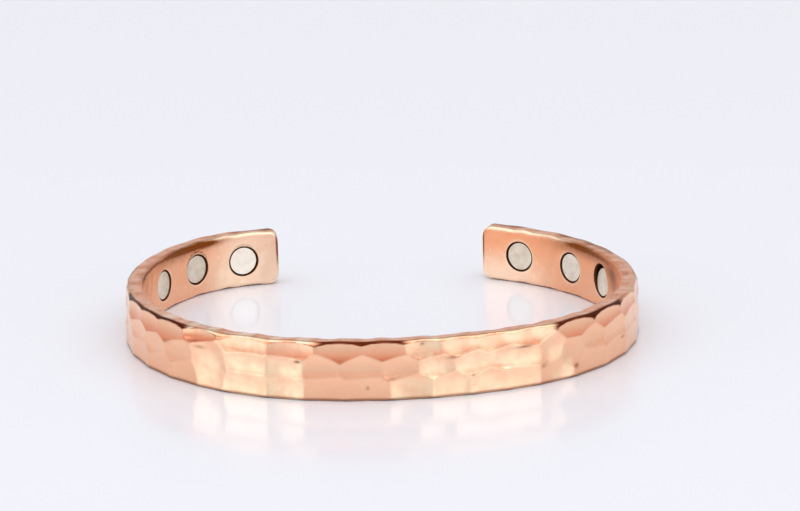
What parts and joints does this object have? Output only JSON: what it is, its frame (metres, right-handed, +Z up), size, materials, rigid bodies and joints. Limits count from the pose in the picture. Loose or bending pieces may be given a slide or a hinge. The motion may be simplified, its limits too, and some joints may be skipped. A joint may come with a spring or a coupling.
{
  "type": "magnetic bracelet",
  "caption": "Open cuff bracelet of hammered copper, a flat band bent round the wrist, with disc magnets let into the inside of both arms; lies on its lower rim",
  "frame": {"origin": "middle of the cuff's outline on the surface that its lower rim lies on", "axes": "+X to the wearer's right as the front is seen, +Y from the front of the wrist towards the opening between the arms, +Z up from rim to rim"},
  "size_m": [0.07, 0.0583, 0.0078],
  "materials": {
    "copper": "hammered and polished copper outside, satin inside, with brown tarnish along the inner rims",
    "magnet": "satin nickel plating"
  },
  "bodies": {
    "root": {"band": "copper", "magnet_left_1": "magnet", "magnet_left_2": "magnet", "magnet_left_3": "magnet", "magnet_right_1": "magnet", "magnet_right_2": "magnet", "magnet_right_3": "magnet"}
  },
  "joints": []
}
